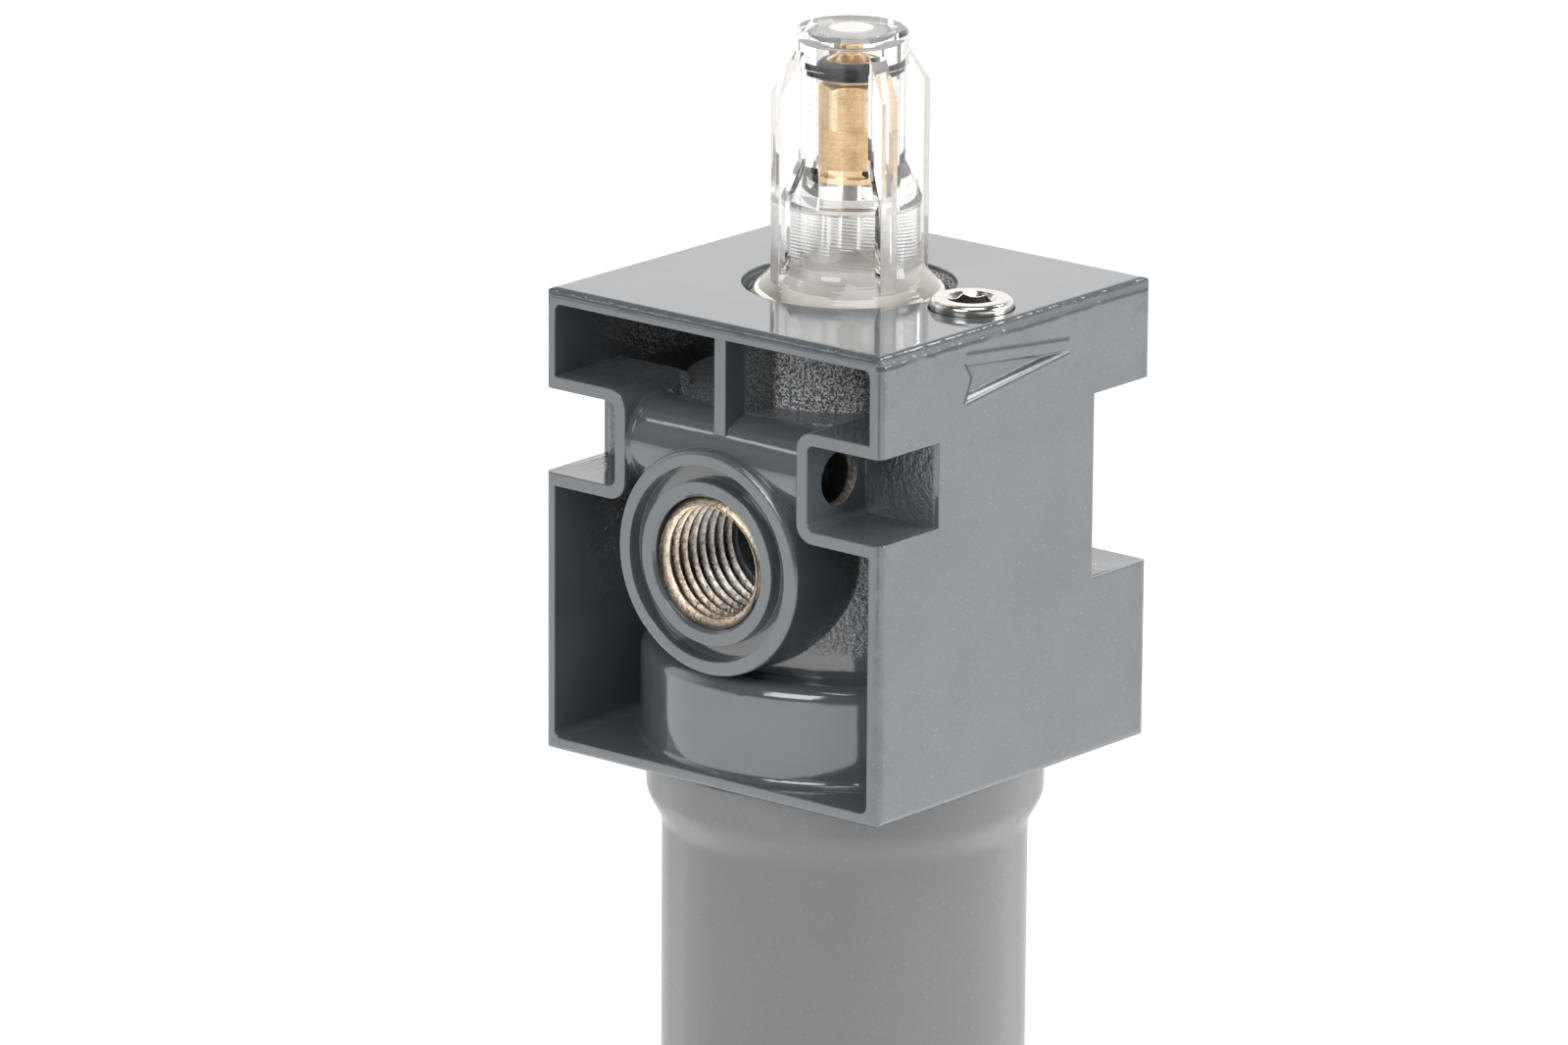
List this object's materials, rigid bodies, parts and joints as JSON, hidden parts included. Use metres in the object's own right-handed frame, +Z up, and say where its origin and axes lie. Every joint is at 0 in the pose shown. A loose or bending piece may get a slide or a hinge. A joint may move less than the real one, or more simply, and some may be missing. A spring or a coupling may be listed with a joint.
{
  "type": "air line lubricator",
  "caption": "Square cast head with threaded ports, clear finned sight dome, oil drip adjuster, filler plug, and a round metal guard over a clear oil bowl.",
  "frame": {"origin": "centre of the guard's foot, on the upright axis", "axes": "+Z up through the sight dome, +X the way the air flows, -Y the front face with the arrow"},
  "size_m": [0.043, 0.042, 0.154],
  "materials": {
    "head_paint": "semi-gloss blue-grey paint on a die casting",
    "guard_paint": "semi-gloss grey paint",
    "clear_dome": "clear moulded plastic",
    "clear_bowl": "clear moulded plastic",
    "brass": "turned",
    "nickel": "bright nickel plate",
    "spring_steel": "bright",
    "black_rubber": "matt",
    "grey_plastic": "moulded",
    "white_tube": "translucent nylon tube",
    "sintered_bronze": "sintered, matt"
  },
  "bodies": {
    "head": {"head_casting": "head_paint", "venturi_insert": "grey_plastic", "insert_upper_seal": "black_rubber", "insert_lower_seal": "black_rubber", "damper_flap": "black_rubber", "damper_clip": "spring_steel", "pressure_valve_seat": "brass", "feed_valve_body": "grey_plastic", "pickup_tube": "white_tube", "pickup_strainer": "sintered_bronze"},
    "dome_ring": {"dome_seal": "black_rubber"},
    "dome": {"sight_dome": "clear_dome", "needle_bushing": "brass", "drip_nozzle": "clear_dome"},
    "needle_ring": {"needle_seal": "black_rubber"},
    "needle": {"needle_screw": "brass"},
    "plug_ring": {"filler_plug_seal": "black_rubber"},
    "plug": {"filler_plug": "nickel"},
    "bowl": {"bowl": "clear_bowl", "bowl_seal": "black_rubber"},
    "guard": {"bowl_guard": "guard_paint"},
    "feed_ball": {"feed_valve_ball": "spring_steel"},
    "pressure_ball": {"pressure_valve_ball": "spring_steel"}
  },
  "joints": [
    {"name": "dome_lift", "type": "slide", "parent": "head", "child": "dome_ring", "axis": [0, 0, 1], "range_m": [0, 0.005]},
    {"name": "dome_turn", "type": "hinge", "parent": "dome_ring", "child": "dome", "pos_m": [0, 0, 0.1287], "axis": [0, 0, 1], "range_deg": [0, 1440]},
    {"name": "needle_lift", "type": "slide", "parent": "dome", "child": "needle_ring", "axis": [0, 0, 1], "range_m": [0, 0.00125]},
    {"name": "needle_turn", "type": "hinge", "parent": "needle_ring", "child": "needle", "pos_m": [0, 0, 0.1437], "axis": [0, 0, 1], "range_deg": [0, 900]},
    {"name": "plug_lift", "type": "slide", "parent": "head", "child": "plug_ring", "axis": [0, 0, 1], "range_m": [0, 0.006]},
    {"name": "plug_turn", "type": "hinge", "parent": "plug_ring", "child": "plug", "pos_m": [0, -0.01515, 0.1287], "axis": [0, 0, 1], "range_deg": [0, 2160]},
    {"name": "guard_drop", "type": "slide", "parent": "head", "child": "bowl", "axis": [0, 0, -1], "range_m": [0, 0.006]},
    {"name": "guard_turn", "type": "hinge", "parent": "bowl", "child": "guard", "pos_m": [0, 0, 0], "axis": [0, 0, -1], "range_deg": [0, 1440]},
    {"name": "feed_ball_lift", "type": "slide", "parent": "head", "child": "feed_ball", "axis": [0, 0, 1], "range_m": [0, 0.001]},
    {"name": "pressure_ball_lift", "type": "slide", "parent": "head", "child": "pressure_ball", "axis": [0, 0, 1], "range_m": [0, 0.0005]}
  ],
  "couplings": [
    {"joint": "dome_turn", "follows": "dome_lift", "rad_per_m": 5026.5},
    {"joint": "needle_turn", "follows": "needle_lift", "rad_per_m": 12566},
    {"joint": "plug_turn", "follows": "plug_lift", "rad_per_m": 6283.2},
    {"joint": "guard_turn", "follows": "guard_drop", "rad_per_m": 4188.8}
  ]
}
